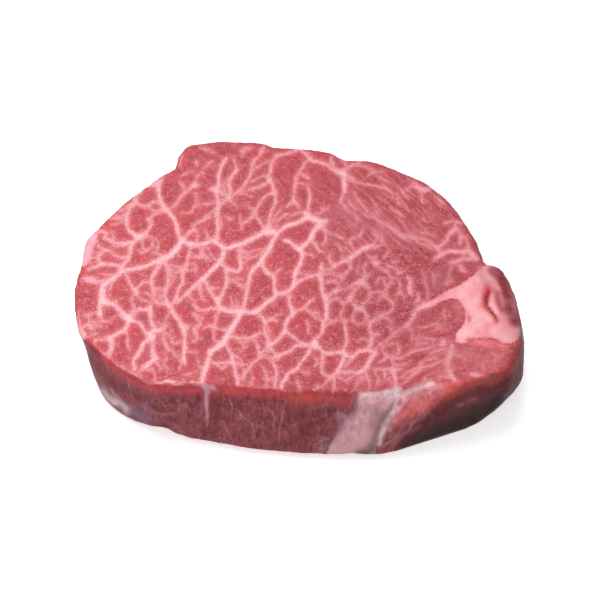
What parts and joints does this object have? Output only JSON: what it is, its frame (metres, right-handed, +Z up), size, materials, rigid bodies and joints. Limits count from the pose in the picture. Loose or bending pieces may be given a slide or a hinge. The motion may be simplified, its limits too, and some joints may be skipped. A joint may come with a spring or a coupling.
{
  "type": "raw sirloin steak",
  "caption": "Thick-cut raw sirloin steak, marbled on the cut face, with a lump of fat at one end and a straight-trimmed corner, lying flat.",
  "frame": {"origin": "under the middle of the steak's box, on the flat underside it lies on", "axes": "+X along the steak's length, towards the lump of fat; +Y away from the viewer's cut wall, towards the curved back; +Z up through the thickness, out of the marbled cut face"},
  "size_m": [0.163, 0.1312, 0.0293],
  "materials": {
    "meat": "moist raw beef, pinkish red with pale fat; soft and slightly translucent"
  },
  "bodies": {
    "root": {"steak": "meat"}
  },
  "joints": []
}
